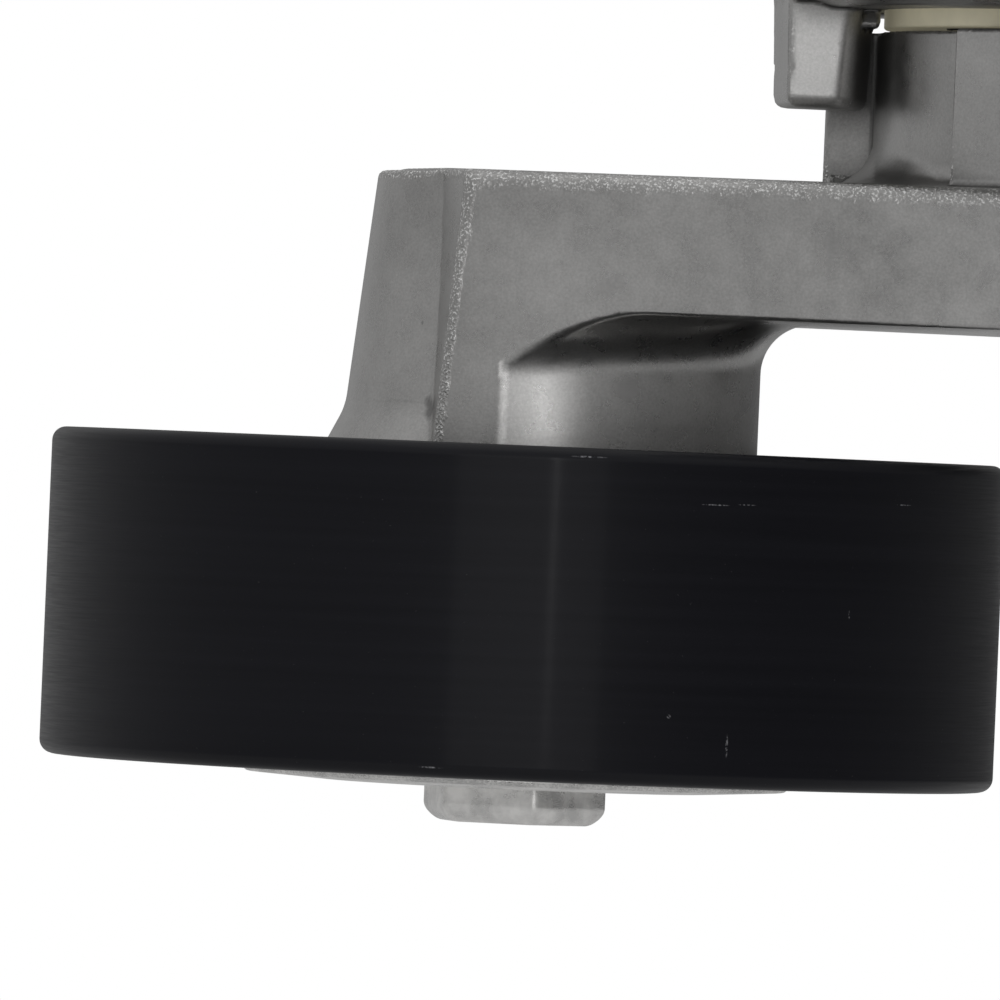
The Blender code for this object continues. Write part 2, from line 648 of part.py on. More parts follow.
def build():
    for old in list(bpy.data.objects):
        bpy.data.objects.remove(old)

    cast = material("cast_aluminium", (0.42, 0.42, 0.41), 0.42, 1.0)
    steel = material("machined_steel", (0.55, 0.55, 0.56), 0.25, 1.0)
    spring_steel = material("spring_steel", (0.16, 0.16, 0.18), 0.45, 1.0)
    zinc = material("zinc_plate", (0.62, 0.62, 0.61), 0.35, 1.0)
    black = material("black_coat", (0.014, 0.014, 0.018), 0.4, 0.0)
    nylon = material("cream_nylon", (0.52, 0.47, 0.33), 0.5, 0.0)
    bronze = material("bronze", (0.45, 0.27, 0.12), 0.4, 1.0)
    rubber = material("seal_rubber", (0.03, 0.02, 0.02), 0.7, 0.0)
    plastic = material("black_plastic", (0.02, 0.02, 0.02), 0.5, 0.0)

    base = axis_empty("base_frame", None)
    arm_pivot = axis_empty("arm_pivot_axis", base)
    pulley_axis = axis_empty("pulley_axis", arm_pivot, -PIVOT_TO_PULLEY, MOUNT_TO_PULLEY_Z)
    ball_axis = axis_empty("ball_axis", pulley_axis)

    paint([base_housing(base), arm_casting(arm_pivot, pulley_axis)], cast)
    paint([locating_pin(base), pivot_shaft(base)], steel)
    paint([torsion_spring(base)], spring_steel)
    paint([
        turned("retaining_plate", band(SHAFT_NECK_RADIUS + GAP, *RETAINER), base, COARSE),
        dust_shield(pulley_axis),
        turned("inner_dust_shield", band(SHOULDER_RADIUS + GAP, INNER_SHIELD_RADIUS,
               *INNER_SHIELD_Z), pulley_axis),
        pulley_bolt(pulley_axis)], zinc)
    paint([
        damping_ring(arm_pivot),
        turned("upper_thrust_washer", band(SHAFT_RADIUS + GAP, *UPPER_WASHER), arm_pivot, COARSE),
        turned("lower_thrust_washer", band(SHAFT_RADIUS + GAP, *LOWER_WASHER), arm_pivot, COARSE)],
        nylon)
    paint([turned("pivot_bushing", band(SHAFT_RADIUS + GAP, BUSHING_RADIUS, *BUSHING_Z),
                  arm_pivot, COARSE)], bronze)
    radius, low, high = CAP
    paint([turned("pivot_cap", [
        (0, high), (radius, high), (radius, low + CAP_CHAMFER), (radius - CAP_CHAMFER, low),
        (0, low)], arm_pivot, COARSE)], plastic)

    paint([pulley_shell(pulley_axis)], black)
    bearing_low, bearing_high = BEARING_Z
    paint([bearing_inner_ring(pulley_axis), bearing_outer_ring(pulley_axis)], steel)
    paint([
        bearing_seal("outer_seal", bearing_low + GAP, pulley_axis),
        bearing_seal("inner_seal", bearing_high - GAP - SEAL_THICKNESS, pulley_axis)], rubber)
    paint([bearing_ball(number + 1, ball_axis) for number in range(BALL_COUNT)], steel)
    paint([ball_cage(ball_axis)], plastic)


build()
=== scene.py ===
import json
import math

import bpy
import numpy as np
from mathutils import Matrix, Vector

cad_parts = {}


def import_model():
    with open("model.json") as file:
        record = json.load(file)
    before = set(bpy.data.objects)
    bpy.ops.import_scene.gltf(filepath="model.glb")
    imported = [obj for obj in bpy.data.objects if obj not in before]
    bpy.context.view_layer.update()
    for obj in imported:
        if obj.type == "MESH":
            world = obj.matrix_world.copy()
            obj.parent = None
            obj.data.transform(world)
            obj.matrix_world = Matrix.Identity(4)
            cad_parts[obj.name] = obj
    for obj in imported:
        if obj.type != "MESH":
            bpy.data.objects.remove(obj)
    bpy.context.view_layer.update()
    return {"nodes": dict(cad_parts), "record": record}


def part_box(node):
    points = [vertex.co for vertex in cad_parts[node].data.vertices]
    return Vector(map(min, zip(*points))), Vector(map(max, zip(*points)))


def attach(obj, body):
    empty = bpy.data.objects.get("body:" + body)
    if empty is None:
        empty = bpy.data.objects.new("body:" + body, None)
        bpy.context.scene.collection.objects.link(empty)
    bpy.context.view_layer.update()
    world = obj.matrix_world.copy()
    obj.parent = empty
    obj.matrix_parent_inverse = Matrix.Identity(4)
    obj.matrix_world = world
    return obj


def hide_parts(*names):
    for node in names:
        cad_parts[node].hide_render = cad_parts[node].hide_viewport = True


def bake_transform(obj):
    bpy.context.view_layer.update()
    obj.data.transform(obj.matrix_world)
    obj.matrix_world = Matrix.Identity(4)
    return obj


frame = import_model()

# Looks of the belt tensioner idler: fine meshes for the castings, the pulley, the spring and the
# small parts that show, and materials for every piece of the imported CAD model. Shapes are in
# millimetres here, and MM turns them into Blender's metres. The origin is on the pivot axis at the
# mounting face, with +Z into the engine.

MM = 0.001


def box_mm(node):
    low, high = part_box(node)
    return low / MM, high / MM


# Where the two axes and the main faces are, from the CAD model
PULLEY_LOW, PULLEY_HIGH = box_mm("pulley_shell")
PULLEY_X = (PULLEY_LOW.x + PULLEY_HIGH.x) / 2
PULLEY_Z = (PULLEY_LOW.z + PULLEY_HIGH.z) / 2
PULLEY_RADIUS = PULLEY_HIGH.x - PULLEY_X
PULLEY_HALF_WIDTH = PULLEY_HIGH.z - PULLEY_Z
ARM_HIGH = box_mm("arm_casting")[1]
HUB_RADIUS = ARM_HIGH.y
HUB_TOP = ARM_HIGH.z
BOSS_BOTTOM = -56.0

# The arm, with heights from the pulley's middle plane unless they are the hub's
POST_RADIUS = 18.15
POST_BOTTOM = 9.6
POST_FILLETS = (5.4, 4.0)
POST_EDGE = -2.6
POST_EDGE_SLOPE = 3
POST_EDGE_DEPTH = 0.3
BEAM_BOTTOM = 23.55
BEAM_TOP = 34.6
BEAM_EDGE = 1.4
BEAM_EDGE_ENDS = (-18, -10)
UNDER_EDGE = 0.42
UNDER_EDGE_FADE = 1.5
END_TOP = 34.45
END_TOP_RADIUS = 12.9
END_TAPER = 0.1008
FLARE_TOP = 15.6
FLARE_RADIUS = 14.8
FLARE_TAPER = 0.5
FLARE_COSINE = 0.9
SKIRT_RADIUS = 17.8
SKIRT_BOTTOM = 9.0
SHOULDER_RADIUS = 12.0
SHOULDER_BOTTOM = 5.3
SPIGOT_RADIUS = 8.2
SPIGOT_BOTTOM = -10.5
BOLT_HOLE_RADIUS = 4.3
BOLT_HOLE_TOP = 12.0
INSIDE_TOP = 20
HUB_FILLET = 0.5
HUB_TOP_ROUND = 0.25
HUB_FADE = (0.4, 0.6)
RECESS_RADIUS = 28.7
RECESS_LEAN = 0.3
RECESS_END = 224.6
RECESS_FILLETS = (4.3, 1.9)
RECESS_FILLET_END = -24
RECESS_FADE = 1.5
RECESS_ROUND = 0.4
# The slanting face: where it starts, how it leans and spreads, and how far past the block it runs
SLANT_START, SLANT_LEAN, SLANT_SPREAD, SLANT_MARGIN = -8.0, 3.4, 0.34, 2
CAVITY_RADII = (14.0, 26.0)
CAVITY_ROUND = 1.5
HUB_FLOOR = -48.2
TUBE_TOP = -29.2
BORE_RADIUS = 10.7
BOSS_RADIUS = 16.0
BOSS_ROUND = 0.8
BOSS_FILLET = 1.0
COUNTERBORE = (12.6, -48.8)
SPRING_STOP_RADII = (18.0, 24.5)
SPRING_STOP_SWEEP = 14.0
SPRING_STOP_HEIGHT = 6.0
SPRING_STOP_ROUND = 0.6
SPRING_STOP_ROOT = 0.5
ARM_STOP_START = 182
BASE_STOP_START = 344

# The torsion spring
SPRING_RADIUS = 21.0
SPRING_WIRE_RADIUS = 2.4
SPRING_TURNS = 5.5
SPRING_TOP, SPRING_BOTTOM = -11.5, -44.5
SPRING_STEPS = 264
SPRING_SIDES = 20

# The base
BASE_RADIUS = 34.0
BASE_CAVITY_RADIUS = 28.5
BASE_PLATE = 8.0
FLANGE_RADIUS = 37.2
FLANGE_Z = (-25.8, -21.2)
BASE_BOSS_RADIUS = 13.0
SOCKET = (8.3, -4.0)
EAR_ANGLES = (0.0, 120.0, 240.0)
EAR_DISTANCE = 46.0
EAR_RADIUS = 9.5
EAR_ROOT_RADIUS = 20.0
EAR_THICKNESS = 12.0
EAR_HOLE_RADIUS = 4.25
EAR_ROUND = 1.0
EAR_FILLET = 3.0
FLANGE_ROUND = 0.7
FLANGE_FILLET = 1.5
PIN_DISTANCE = 20.0
PIN_HOLE = (3.3, -5.8)
LUG_BACK_OUTER = (-37.1, -0.3)
LUG_FRONT_OUTER = (-36.0, -9.0)
LUG_BACK_INNER = (-29.0, -0.3)
LUG_FRONT_INNER = (-30.4, -9.0)
LUG_CORNERS = (1.3, 2.1)
LUG_BOTTOM = -34.3
TAB_X = (-30.8, -28.65)
TAB_Y = (-7.4, -0.6)
TAB_BOTTOM = -27.7
TAB_SLOPE = 0.45
TAB_COSINE = 0.91
TAB_ROUND = 0.35
LUG_DRAFT = 0.035
LUG_SIDE_ROUND = 0.45
LUG_END_ROUND = 0.9
FLANGE_OVERLAP = 2  # how far the lug and its tab reach into the flange
CAVITY_PAST = 5  # how far the base's cavity is cut past its open end

OVERLAP = 1  # how far one shape reaches into the next, so that they join

# Roundings that both castings share, and those along the edges of what is cut out of them
FINE_ROUND = 0.3
CAST_ROUND = 0.5
ARM_CUT_ROUND = 0.35
BASE_CUT_ROUND = 0.4

# Spacing of the grids that the castings are meshed on, and how far in front of a surface the
# space is looked at to see how sheltered it is
ARM_GRID = 0.42
BASE_GRID = 0.5
BOLT_GRID = 0.16
SHELTER_REACHES = (1.2, 3.0, 6.0)


# ---------------------------------------------------------------- distance fields

def meet(radius, *fields):
    """Where all the fields overlap, with its outer edges rounded."""
    result = fields[0]
    for field in fields[1:]:
        reach = np.hypot(np.maximum(result + radius, 0), np.maximum(field + radius, 0))
        result = np.minimum(np.maximum(result, field), -radius) + reach
    return result


def join(radius, *fields):
    """All the fields together, with a fillet where they meet."""
    return -meet(radius, *[-field for field in fields])


def tapered_wall(x, y, near_radius, far_x, far_radius):
    """Distance to two circles on the X axis, at 0 and far_x, with their common tangents."""
    slope = (far_radius - near_radius) / far_x
    side = math.sqrt(1 - slope * slope)
    across = np.abs(y)
    along = side * x + slope * across
    near = np.hypot(x, y) - near_radius
    far = np.hypot(x - far_x, y) - far_radius
    flat = side * across - slope * x - near_radius
    return np.where(along < 0, near, np.where(along > side * far_x, far, flat))


def beyond(angle, x, y):
    """Distance past the half plane from the Z axis at this angle, turning left."""
    lead = math.radians(angle)
    return math.cos(lead) * y - math.sin(lead) * x


def spring_stop(x, y, z, radius, start, low):
    """The cast block that an end of the spring bears on."""
    inner, outer = SPRING_STOP_RADII
    sweep = start + SPRING_STOP_SWEEP
    return meet(SPRING_STOP_ROUND, inner - radius, radius - outer, z - low - SPRING_STOP_HEIGHT,
                low - z, -beyond(start, x, y), beyond(sweep, x, y))


def arm_field(x, y, z):
    """The arm casting."""
    u, w = x - PULLEY_X, z - PULLEY_Z
    post_radius, hub_radius = np.hypot(u, y), np.hypot(x, y)
    wall = tapered_wall(u, y, POST_RADIUS, -PULLEY_X, HUB_RADIUS)

    # From above: the flat top of the beam and the hub, which has a recess for the stop lug
    end_face = (y + RECESS_LEAN * (x + RECESS_RADIUS)) / math.hypot(1, RECESS_LEAN)
    far_end = beyond(RECESS_END, x, y)
    recess = meet(RECESS_ROUND, RECESS_RADIUS - hub_radius, end_face, far_end)
    hub = meet(RECESS_ROUND, hub_radius - HUB_RADIUS, -recess)
    outside = 1 + np.maximum(end_face, far_end) / RECESS_FADE
    outside = np.maximum(outside, (hub_radius - HUB_RADIUS + HUB_FADE[0]) / HUB_FADE[1])
    outside = np.clip(outside, 0, 1)
    fillet = np.interp(x, (-RECESS_RADIUS, RECESS_FILLET_END), RECESS_FILLETS)
    fillet = fillet + (HUB_FILLET - fillet) * outside
    above = meet(HUB_TOP_ROUND, join(fillet, w - BEAM_TOP, hub), z - HUB_TOP)
    # From below: the post and its fillet into the beam
    fillet = np.interp(u, (POST_EDGE, POST_RADIUS), POST_FILLETS)
    post = join(fillet, BEAM_BOTTOM - w, post_radius - POST_RADIUS)
    below = np.minimum(post, u - POST_EDGE + POST_EDGE_SLOPE * np.clip(wall, -POST_EDGE_DEPTH, 0))
    below = meet(FINE_ROUND, below, POST_BOTTOM - w)

    edge = np.interp(x, BEAM_EDGE_ENDS, (BEAM_EDGE, 0.0))
    under_edge = np.interp(w, (BEAM_BOTTOM - POST_FILLETS[0], BEAM_BOTTOM - UNDER_EDGE_FADE),
                           (0.0, UNDER_EDGE))
    block = meet(under_edge, meet(edge, wall, above), below)
    # The slanting face where the block stops short of the tapered end
    share = (w - POST_BOTTOM + SLANT_MARGIN) / (BEAM_TOP - POST_BOTTOM + 2 * SLANT_MARGIN)
    cut = SLANT_START + share * (SLANT_SPREAD * np.abs(y) - SLANT_LEAN)
    block = meet(CAST_ROUND, block, cut - u)

    drop = END_TOP - w
    cone = post_radius - END_TOP_RADIUS - END_TAPER * drop
    flare = FLARE_COSINE * (post_radius - FLARE_RADIUS - FLARE_TAPER * (FLARE_TOP - w))
    flare = meet(CAST_ROUND, flare, post_radius - SKIRT_RADIUS)
    end = meet(CAST_ROUND, join(FINE_ROUND, cone, flare), -drop, SKIRT_BOTTOM - w)
    body = join(CAST_ROUND, block, end)
    shoulder = meet(FINE_ROUND, post_radius - SHOULDER_RADIUS, SHOULDER_BOTTOM - w,
                    w - INSIDE_TOP)
    spigot = meet(CAST_ROUND, post_radius - SPIGOT_RADIUS, SPIGOT_BOTTOM - w, w - INSIDE_TOP)
    boss = meet(BOSS_ROUND, hub_radius - BOSS_RADIUS, BOSS_BOTTOM - z, z - HUB_FLOOR)
    body = join(BOSS_FILLET, np.minimum(body, np.minimum(shoulder, spigot)), boss)

    inner, outer = CAVITY_RADII
    cavity = meet(CAVITY_ROUND, inner - hub_radius, hub_radius - outer, HUB_FLOOR - z)
    tube_end = np.maximum(hub_radius - inner - OVERLAP, TUBE_TOP - z)
    bore = np.maximum(hub_radius - BORE_RADIUS, -1)
    counterbore = np.maximum(hub_radius - COUNTERBORE[0], z - COUNTERBORE[1])
    bolt_hole = np.maximum(post_radius - BOLT_HOLE_RADIUS, w - BOLT_HOLE_TOP)
    for cutter in (np.minimum(cavity, tube_end), np.minimum(bore, counterbore), bolt_hole):
        body = meet(ARM_CUT_ROUND, body, -cutter)
    stop = spring_stop(x, y, z, hub_radius, ARM_STOP_START, HUB_FLOOR - SPRING_STOP_ROOT)
    return join(CAST_ROUND, body, stop)


def right_of(back, front, x, y):
    """Distance to the +X side of a line on plan, from its back point to its front point."""
    across, along = front[0] - back[0], front[1] - back[1]
    return ((x - back[0]) * -along + (y - back[1]) * across) / math.hypot(across, along)


def lug_field(x, y, z):
    """The stop lug under the base's flange."""
    outer = -right_of(LUG_BACK_OUTER, LUG_FRONT_OUTER, x, y)
    inner = right_of(LUG_BACK_INNER, LUG_FRONT_INNER, x, y)
    draft = LUG_DRAFT * (FLANGE_Z[0] - z)
    corner = np.interp(z, (LUG_BOTTOM, FLANGE_Z[0]), LUG_CORNERS[::-1])
    sides = meet(corner, LUG_FRONT_OUTER[1] - y, inner)
    sides = meet(LUG_SIDE_ROUND, sides, outer, y - LUG_BACK_OUTER[1]) + draft
    under_flange = z - FLANGE_Z[0] - FLANGE_OVERLAP
    lug = meet(LUG_END_ROUND, sides, LUG_BOTTOM - z, under_flange)
    (left, right), (front, back) = TAB_X, TAB_Y
    front = front + TAB_SLOPE * (z - TAB_BOTTOM)
    tab = meet(TAB_ROUND, left - x, x - right, TAB_COSINE * (front - y), y - back,
               TAB_BOTTOM - z, under_flange)
    return np.minimum(lug, tab)


def base_field(x, y, z):
    """The base casting: drum, flange, ears and stop lug."""
    radius = np.hypot(x, y)
    low, high = FLANGE_Z
    ears = []
    for angle in EAR_ANGLES:
        lead = math.radians(angle)
        along = math.cos(lead) * x + math.sin(lead) * y
        across = math.cos(lead) * y - math.sin(lead) * x
        outline = tapered_wall(along, across, EAR_ROOT_RADIUS, EAR_DISTANCE, EAR_RADIUS)
        hole = np.hypot(along - EAR_DISTANCE, across) - EAR_HOLE_RADIUS
        ears.append((outline, hole))
    outline = np.minimum(np.minimum(ears[0][0], ears[1][0]), ears[2][0])
    holes = np.minimum(np.minimum(ears[0][1], ears[1][1]), ears[2][1])
    ear_plate = meet(EAR_ROUND, outline, -EAR_THICKNESS - z)
    drum = meet(CAST_ROUND, radius - BASE_RADIUS, low - z)
    flange = meet(FLANGE_ROUND, radius - FLANGE_RADIUS, low - z, z - high)
    body = join(EAR_FILLET, ear_plate, drum)
    body = join(FLANGE_FILLET, body, flange)
    body = join(FINE_ROUND, body, lug_field(x, y, z))
    body = meet(CAST_ROUND, body, z)
    cavity = meet(CAVITY_ROUND, BASE_BOSS_RADIUS - radius, radius - BASE_CAVITY_RADIUS,
                  z + BASE_PLATE, low - CAVITY_PAST - z)
    socket = np.maximum(radius - SOCKET[0], z - SOCKET[1])
    pin_hole = np.maximum(np.hypot(x, y - PIN_DISTANCE) - PIN_HOLE[0], PIN_HOLE[1] - z)
    for cutter in (cavity, socket, pin_hole, holes):
        body = meet(BASE_CUT_ROUND, body, -cutter)
    stop = spring_stop(x, y, z, radius, BASE_STOP_START,
                       -BASE_PLATE + SPRING_STOP_ROOT - SPRING_STOP_HEIGHT)
    return join(CAST_ROUND, body, stop)


# The pulley bolt
BOLT_HIGH = box_mm("pulley_bolt")[1]
BOLT_HEAD_TOP = PULLEY_Z - 12.6
BOLT_BOTTOM = PULLEY_Z - 17.05
BOLT_ACROSS_FLATS = 13.2
BOLT_TURN = -77.0
BOLT_ROUND = 1.5
DOME_RADIUS = BOLT_ACROSS_FLATS / 2 + 0.1
DOME_RISE = 1.15
DOME_COSINE = 0.62
HEAD_FILLET = 0.4
SHANK_RADIUS = 3.9
SHANK_ROUND = 0.8
THREAD_PITCH = 1.25
THREAD_DEPTH = 0.65
THREAD_START = PULLEY_Z - 8


def bolt_field(x, y, z):
    """Hexagon head with its lower corners rounded off, plain neck and thread."""
    u = x - PULLEY_X
    radius = np.hypot(u, y)
    sides = []
    for side in range(3):
        lead = math.radians(BOLT_TURN + 30 + 60 * side)
        sides.append(np.abs(math.cos(lead) * u + math.sin(lead) * y) - BOLT_ACROSS_FLATS / 2)
    hexagon = meet(FINE_ROUND, *sides)
    dome = radius - DOME_RADIUS - DOME_RISE * (z - BOLT_BOTTOM)
    head = meet(BOLT_ROUND, hexagon, BOLT_BOTTOM - z)
    head = meet(CAST_ROUND, head, DOME_COSINE * dome)
    head = meet(FINE_ROUND, head, z - BOLT_HEAD_TOP)
    turn = np.arctan2(y, u) / (2 * math.pi) + z / THREAD_PITCH
    groove = THREAD_DEPTH * np.abs(2 * (turn - np.floor(turn)) - 1)
    groove = groove * np.clip(z - THREAD_START, 0, 1)
    shank = meet(SHANK_ROUND, radius - SHANK_RADIUS + groove, z - BOLT_HIGH.z,
                 BOLT_HEAD_TOP - OVERLAP - z)
    return join(HEAD_FILLET, head, shank)


# How worn an edge is: the least share, and the share on the hub and on the base and the bolt
LEAST_WEAR = 0.05
HUB_WEAR = 0.15
BASE_WEAR = 0.2
WEAR_LEAN = 0.3  # how far a surface faces down where its wear has faded out
HUB_WEAR_START, HUB_WEAR_FADE = 0.8, 1.2  # above the beam's top


def arm_wear(points, normals):
    """Tumbling has worn the beam's upper edges and its left edge, and little else. Wear fades
    out on what faces down and over the hub's foot."""
    height = points[:, 2] - PULLEY_Z
    below = np.clip(1 + normals[:, 2] / WEAR_LEAN, LEAST_WEAR, 1)
    hub = np.clip((height - BEAM_TOP - HUB_WEAR_START) / HUB_WEAR_FADE, 0, 1 - HUB_WEAR)
    post = (height < BEAM_BOTTOM + 1) & (points[:, 0] - PULLEY_X > POST_EDGE - 1)
    return below * (1 - hub) * np.where(post, LEAST_WEAR, 1)


def even_wear(points, normals):
    """The base and the bolt are worn a little, the same all over."""
    return np.full(len(points), BASE_WEAR)


def castings_field(x, y, z):
    return np.minimum(arm_field(x, y, z), base_field(x, y, z))


def shelter(points, normals):
    """How far the castings around each point take up the space in front of it, from 0 to 1. The
    cast aluminium's colour is darkened by it, as painted shade in crevices.
    """
    taken = 0
    for reach in SHELTER_REACHES:
        ahead = castings_field(*(points + reach * normals).T)
        taken = taken + np.clip(1 - ahead / reach, 0, 1) / len(SHELTER_REACHES)
    return taken


# ---------------------------------------------------------------- meshing

CORNERS = [(i, j, k) for i in (0, 1) for j in (0, 1) for k in (0, 1)]
CELL_EDGES = [(a, b) for a in CORNERS for b in CORNERS
              if a < b and sum(map(abs, np.subtract(a, b))) == 1]
GRID_OFFSET = 1.37  # in cells, so that no flat face lies on a plane of the grid
SETTLING_PASSES = 3
VALUE_REACH, NORMAL_REACH, CURVATURE_REACH = 0.02, 0.03, 0.4
SHARPEST = 2


def slopes(field, points, reach):
    """Field value, gradient and curvature at each point, from samples a little either side."""
    centre = field(*points.T)
    gradient = np.empty_like(points)
    total = -6 * centre
    for axis in range(3):
        step = np.zeros(3)
        step[axis] = reach
        ahead, behind = field(*(points + step).T), field(*(points - step).T)
        gradient[:, axis] = (ahead - behind) / (2 * reach)
        total += ahead + behind
    return centre, gradient, total / (reach * reach)


def field_mesh(name, field, low, high, step, wear_share):
    """Meshes the surface where the field is zero, one vertex to each grid cell that it crosses.
    wear_share gives the share of its convex sharpness that marks worn edges at each point; its
    concave sharpness is kept whole, and the castings' material darkens there as painted shade."""
    counts = [int((b - a) / step) + 4 for a, b in zip(low, high)]
    starts = [a - GRID_OFFSET * step for a in low]
    axes = [start + step * np.arange(n, dtype=np.float32) for start, n in zip(starts, counts)]
    values = field(axes[0][:, None, None], axes[1][None, :, None], axes[2][None, None, :])
    values = np.broadcast_to(values, counts).astype(np.float32)
    inside = values < 0

    cells = np.zeros([n - 1 for n in counts], np.int8)
    for i, j, k in CORNERS:
        cells += inside[i:counts[0] - 1 + i, j:counts[1] - 1 + j, k:counts[2] - 1 + k]
    crossed = np.argwhere((cells > 0) & (cells < 8))
    number = np.full(cells.shape, -1, np.int64)
    number[tuple(crossed.T)] = np.arange(len(crossed))

    corner_values = {c: values[tuple((crossed + c).T)] for c in CORNERS}
    total, hits = np.zeros((len(crossed), 3)), np.zeros(len(crossed))
    for a, b in CELL_EDGES:
        first, second = corner_values[a], corner_values[b]
        hit = (first < 0) != (second < 0)
        share = np.where(hit, first / np.where(hit, first - second, 1), 0)
        total += hit[:, None] * (np.array(a) + share[:, None] * np.subtract(b, a))
        hits += hit
    points = np.array(starts) + step * (crossed + total / hits[:, None])
    for _ in range(SETTLING_PASSES):
        value, gradient, _ = slopes(field, points, VALUE_REACH)
        length = np.maximum(np.sum(gradient * gradient, axis=1), 0.05)
        move = gradient * (value / length)[:, None]
        points -= np.clip(move, -step, step)
    _, gradient, _ = slopes(field, points, NORMAL_REACH)
    normals = gradient / np.maximum(np.linalg.norm(gradient, axis=1), 1e-6)[:, None]
    _, _, curvature = slopes(field, points, CURVATURE_REACH)
    # Concave sharpness stays whole here; the cast aluminium darkens its colour there as painted
    # shade in creases.
    wear_and_crease_shade = np.where(curvature > 0, wear_share(points, normals), 1)
    wear_and_crease_shade = wear_and_crease_shade * np.clip(curvature, -SHARPEST, SHARPEST)

    faces = []
    for axis in range(3):
        one, two = [a for a in range(3) if a != axis]
        near = np.take(inside, range(counts[axis] - 1), axis)
        far = np.take(inside, range(1, counts[axis]), axis)
        at = np.argwhere(near != far)
        at = at[(at[:, one] > 0) & (at[:, two] > 0) & (at[:, one] < counts[one] - 1)
                & (at[:, two] < counts[two] - 1)]
        outward = near[tuple(at.T)] == (axis != 1)
        ring = []
        for back_one, back_two in ((1, 1), (0, 1), (0, 0), (1, 0)):
            cell = at.copy()
            cell[:, one] -= back_one
            cell[:, two] -= back_two
            ring.append(number[tuple(cell.T)])
        quads = np.stack(ring, axis=1)
        faces.append(np.where(outward[:, None], quads, quads[:, ::-1]))
    faces = np.concatenate(faces)
    piece = mesh_object(name, points, faces, normals[faces.ravel()], wear_and_crease_shade)
    # The shelter attribute darkens the cast aluminium's colour: painted shade in crevices and
    # recesses.
    store(piece, "shelter", shelter(points, normals))
    return piece


def mesh_object(name, points, faces, corner_normals, edge):
    """Makes an object of points in millimetres and faces with four corners each."""
    mesh = bpy.data.meshes.new(name)
    mesh.vertices.add(len(points))
    mesh.vertices.foreach_set("co", (points * MM).astype(np.float32).ravel())
    mesh.loops.add(faces.size)
    mesh.loops.foreach_set("vertex_index", faces.astype(np.int32).ravel())
    mesh.polygons.add(len(faces))
    mesh.polygons.foreach_set("loop_start", np.arange(len(faces), dtype=np.int32) * 4)
    mesh.update(calc_edges=True)
    mesh.shade_smooth()
    mesh.normals_split_custom_set(corner_normals.astype(np.float32))
    piece = bpy.data.objects.new(name, mesh)
    bpy.context.scene.collection.objects.link(piece)
    store(piece, "edge", edge)
    return piece


def store(piece, name, values):
    """Keeps a number for each of the piece's points, for its material to read."""
    held = piece.data.attributes.new(name, "FLOAT", "POINT")
    held.data.foreach_set("value", values.astype(np.float32))


def rounded(corners, steps=5):
    """A closed outline of (radius, height, rounding) corners as points, their normals and how
    sharply the outline turns there. It runs so that the solid is on its right."""
    points, normals, bends = [], [], []
    count = len(corners)
    for i, (r, z, rounding) in enumerate(corners):
        here = np.array((r, z))
        before = here - corners[i - 1][:2]
        after = np.array(corners[(i + 1) % count][:2]) - here
        into, out = before / np.linalg.norm(before), after / np.linalg.norm(after)
        first, last = np.array((-into[1], into[0])), np.array((-out[1], out[0]))
        turn = into[0] * out[1] - into[1] * out[0]
        if rounding == 0 or abs(turn) < 1e-6:
            points += [here, here]
            normals += [first, last]
            bends += [0, 0]
            continue
        angle = math.atan2(turn, float(into @ out))
        setback = rounding * math.tan(abs(angle) / 2)
        side = 1 if angle > 0 else -1
        centre = here - into * setback + side * rounding * first
        for step in range(steps + 1):
            swing = angle * step / steps
            c, s = math.cos(swing), math.sin(swing)
            normal = np.array((c * first[0] - s * first[1], s * first[0] + c * first[1]))
            points.append(centre - side * rounding * normal)
            normals.append(normal)
            bends.append(-side / rounding if 0 < step < steps else 0)
    return np.array(points), np.array(normals), np.array(bends)


def turned(name, corners, centre_x=0.0, centre_y=0.0, segments=128, start=0.0, sweep=360.0,
           steps=5):
    """Spins a rounded outline about an axis along Z."""
    outline, outline_normals, bends = rounded(corners, steps)
    whole = sweep == 360
    columns = segments if whole else segments + 1
    leads = np.radians(start + sweep * np.arange(columns) / segments)
    cosine, sine = np.cos(leads)[:, None], np.sin(leads)[:, None]

    def spin(pairs):
        return np.stack([cosine * pairs[:, 0], sine * pairs[:, 0],
                         np.broadcast_to(pairs[:, 1], (columns, len(pairs)))], axis=2)

    count = len(outline)
    points = spin(outline).reshape(-1, 3) + (centre_x, centre_y, 0)
    normals = spin(outline_normals).reshape(-1, 3)
    column, row = np.meshgrid(np.arange(segments), np.arange(count), indexing="ij")
    right, down = (column + 1) % columns, (row + 1) % count
    faces = np.stack([column * count + row, column * count + down, right * count + down,
                      right * count + row], axis=2).reshape(-1, 4)
    lengths = np.linalg.norm(np.roll(outline, -1, axis=0) - outline, axis=1)
    axial = (outline[:, 0] < 1e-6) & (np.roll(outline[:, 0], -1) < 1e-6)
    faces = faces[np.tile((lengths > 1e-6) & ~axial, segments)]
    return mesh_object(name, points, faces, normals[faces.ravel()], np.tile(bends, columns))


# ---------------------------------------------------------------- materials

NOISE_SPAN = (0.3, 0.7)  # nearly all of a noise node's values lie in here
SCRATCH_DEPTH = 3.0
# Small scratches on the pulley: place across and up from its middle, then size across and up
SCRATCHES = ((14.5, 9.0, 2.6, 0.12), (17.0, 9.1, 1.6, 0.1), (25.4, 0.9, 0.15, 0.7),
             (16.2, -9.6, 0.22, 2.0), (11.6, -7.5, 0.34, 0.34), (29.4, 9.6, 1.4, 0.1),
             (4.6, 12.3, 3.0, 0.16), (-6.6, -12.2, 2.0, 0.14))


def put(tree, kind, inputs=(), **settings):
    """Adds a shader node. Inputs hold values or other nodes' outputs, by name or number."""
    node = tree.nodes.new("ShaderNode" + kind)
    for key, value in settings.items():
        setattr(node, key, value)
    for key, value in dict(inputs).items():
        if isinstance(value, bpy.types.NodeSocket):
            tree.links.new(value, node.inputs[key])
        else:
            node.inputs[key].default_value = value
    return node


def math_node(tree, operation, *values):
    return put(tree, "Math", dict(enumerate(values)), operation=operation).outputs[0]


